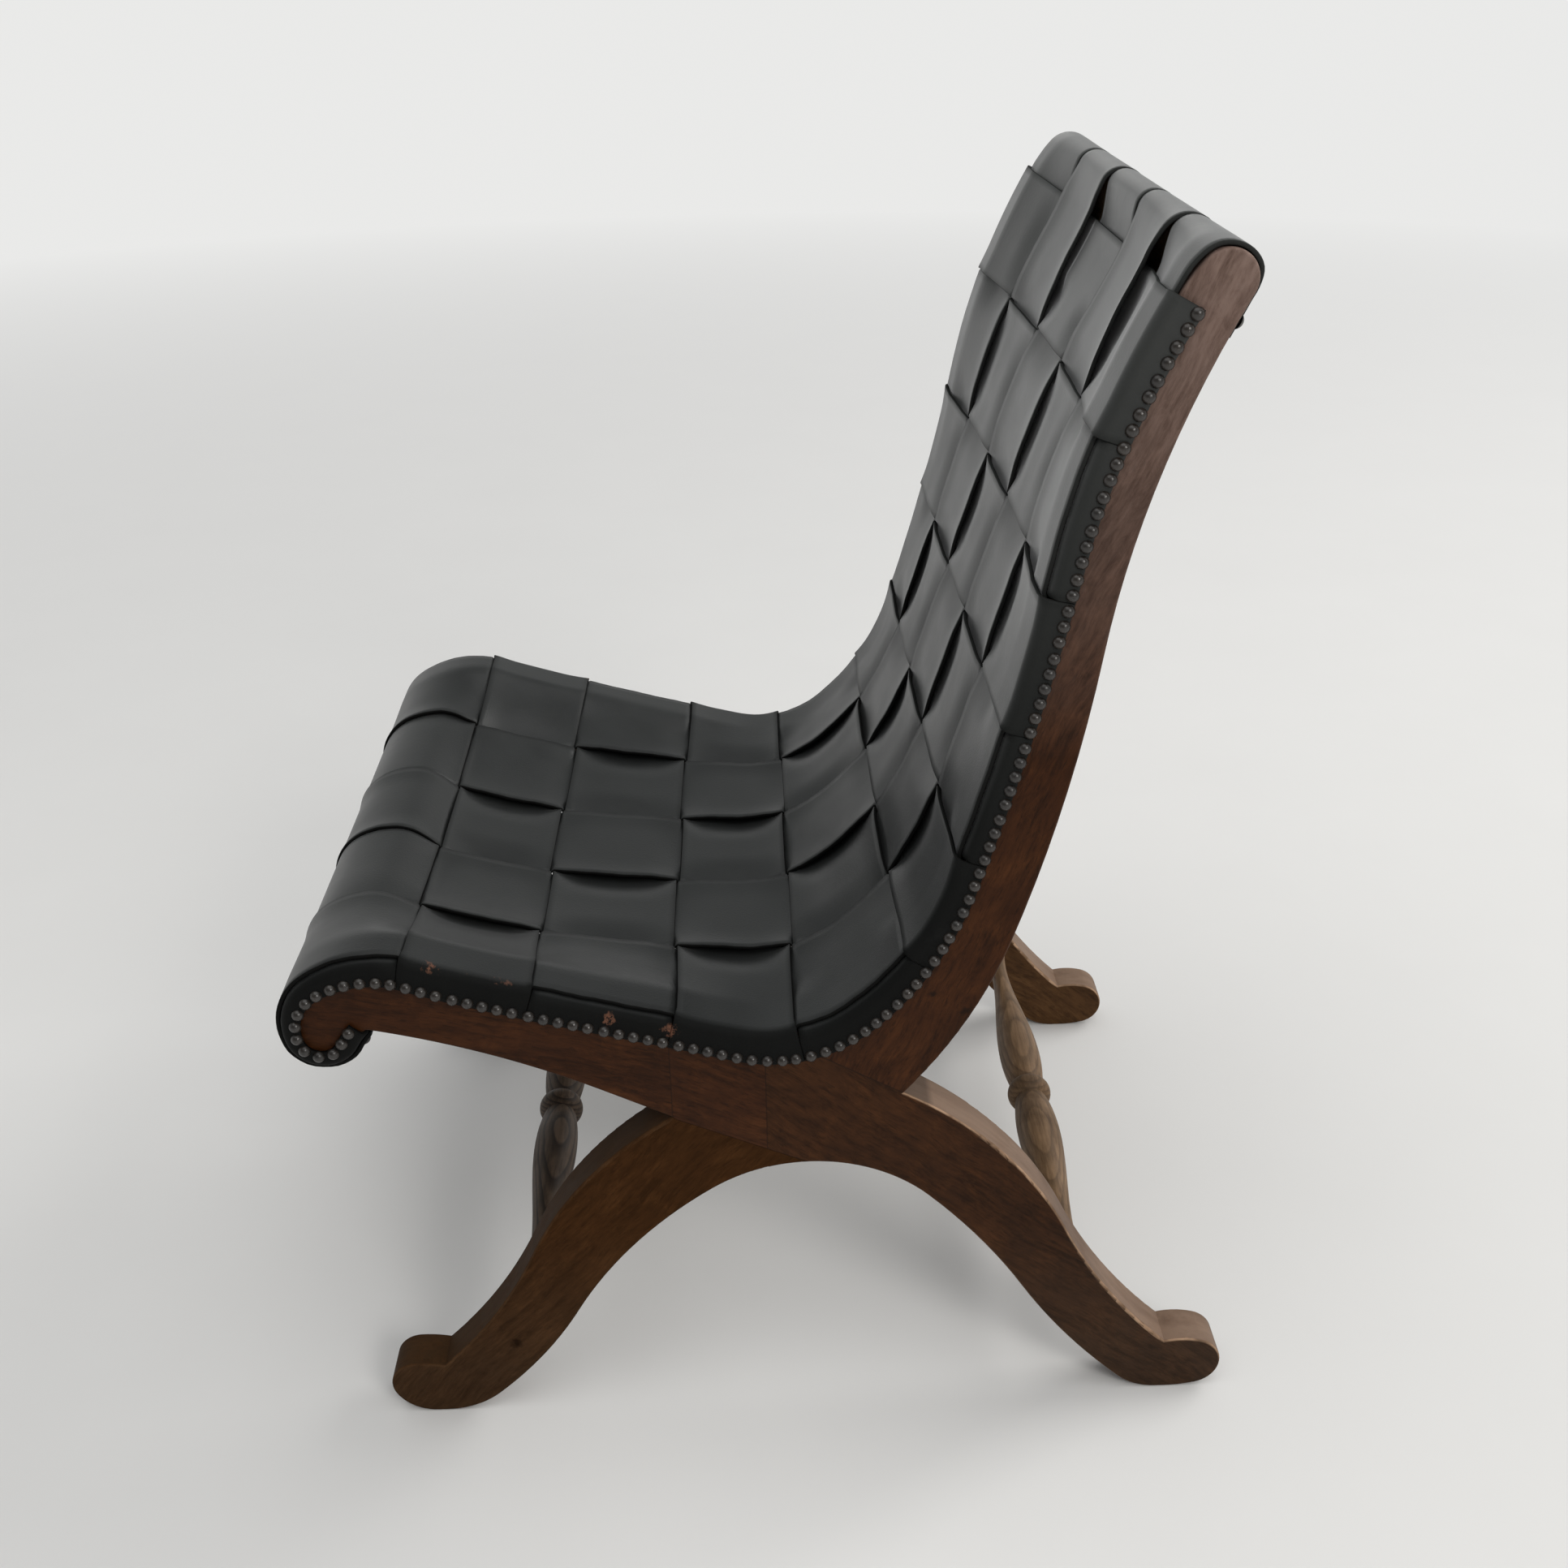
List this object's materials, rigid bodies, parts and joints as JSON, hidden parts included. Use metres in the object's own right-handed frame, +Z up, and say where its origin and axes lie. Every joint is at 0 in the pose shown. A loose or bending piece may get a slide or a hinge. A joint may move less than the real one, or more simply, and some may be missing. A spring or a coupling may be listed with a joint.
{
  "type": "low slipper chair",
  "caption": "Low chair with sawn X-shaped wooden side frames on scrolled feet, turned stretchers and a curved seat and back of woven black leather straps.",
  "frame": {"origin": "on the floor under the middle of the chair's bounding box", "axes": "+Z up, -Y the way the sitter faces, +X the sitter's left hand"},
  "size_m": [0.4826, 0.6152, 0.7856],
  "materials": {
    "frame_wood": "waxed, worn",
    "stretcher_wood": "dull, worn",
    "hidden_wood": "unfinished",
    "black_leather": "semi-matte, worn at the folds",
    "dark_bronze": "darkened, satin"
  },
  "bodies": {
    "root": {"left_back_post": "frame_wood", "left_front_leg": "frame_wood", "left_seat_rail": "frame_wood", "left_centre_block": "frame_wood", "left_rear_leg": "frame_wood", "right_back_post": "frame_wood", "right_front_leg": "frame_wood", "right_seat_rail": "frame_wood", "right_centre_block": "frame_wood", "right_rear_leg": "frame_wood", "front_stretcher": "stretcher_wood", "rear_stretcher": "stretcher_wood", "front_rail": "hidden_wood", "crest_rail": "hidden_wood", "long_strap_1": "black_leather", "long_strap_2": "black_leather", "long_strap_3": "black_leather", "long_strap_4": "black_leather", "long_strap_5": "black_leather", "cross_strap_01": "black_leather", "cross_strap_02": "black_leather", "cross_strap_03": "black_leather", "cross_strap_04": "black_leather", "cross_strap_05": "black_leather", "cross_strap_06": "black_leather", "cross_strap_07": "black_leather", "cross_strap_08": "black_leather", "cross_strap_09": "black_leather", "cross_strap_10": "black_leather", "left_dome_nails": "dark_bronze", "right_dome_nails": "dark_bronze", "front_strap_tacks": "dark_bronze", "crest_strap_tacks": "dark_bronze", "left_frame_dowels": "hidden_wood", "right_frame_dowels": "hidden_wood"}
  },
  "joints": []
}
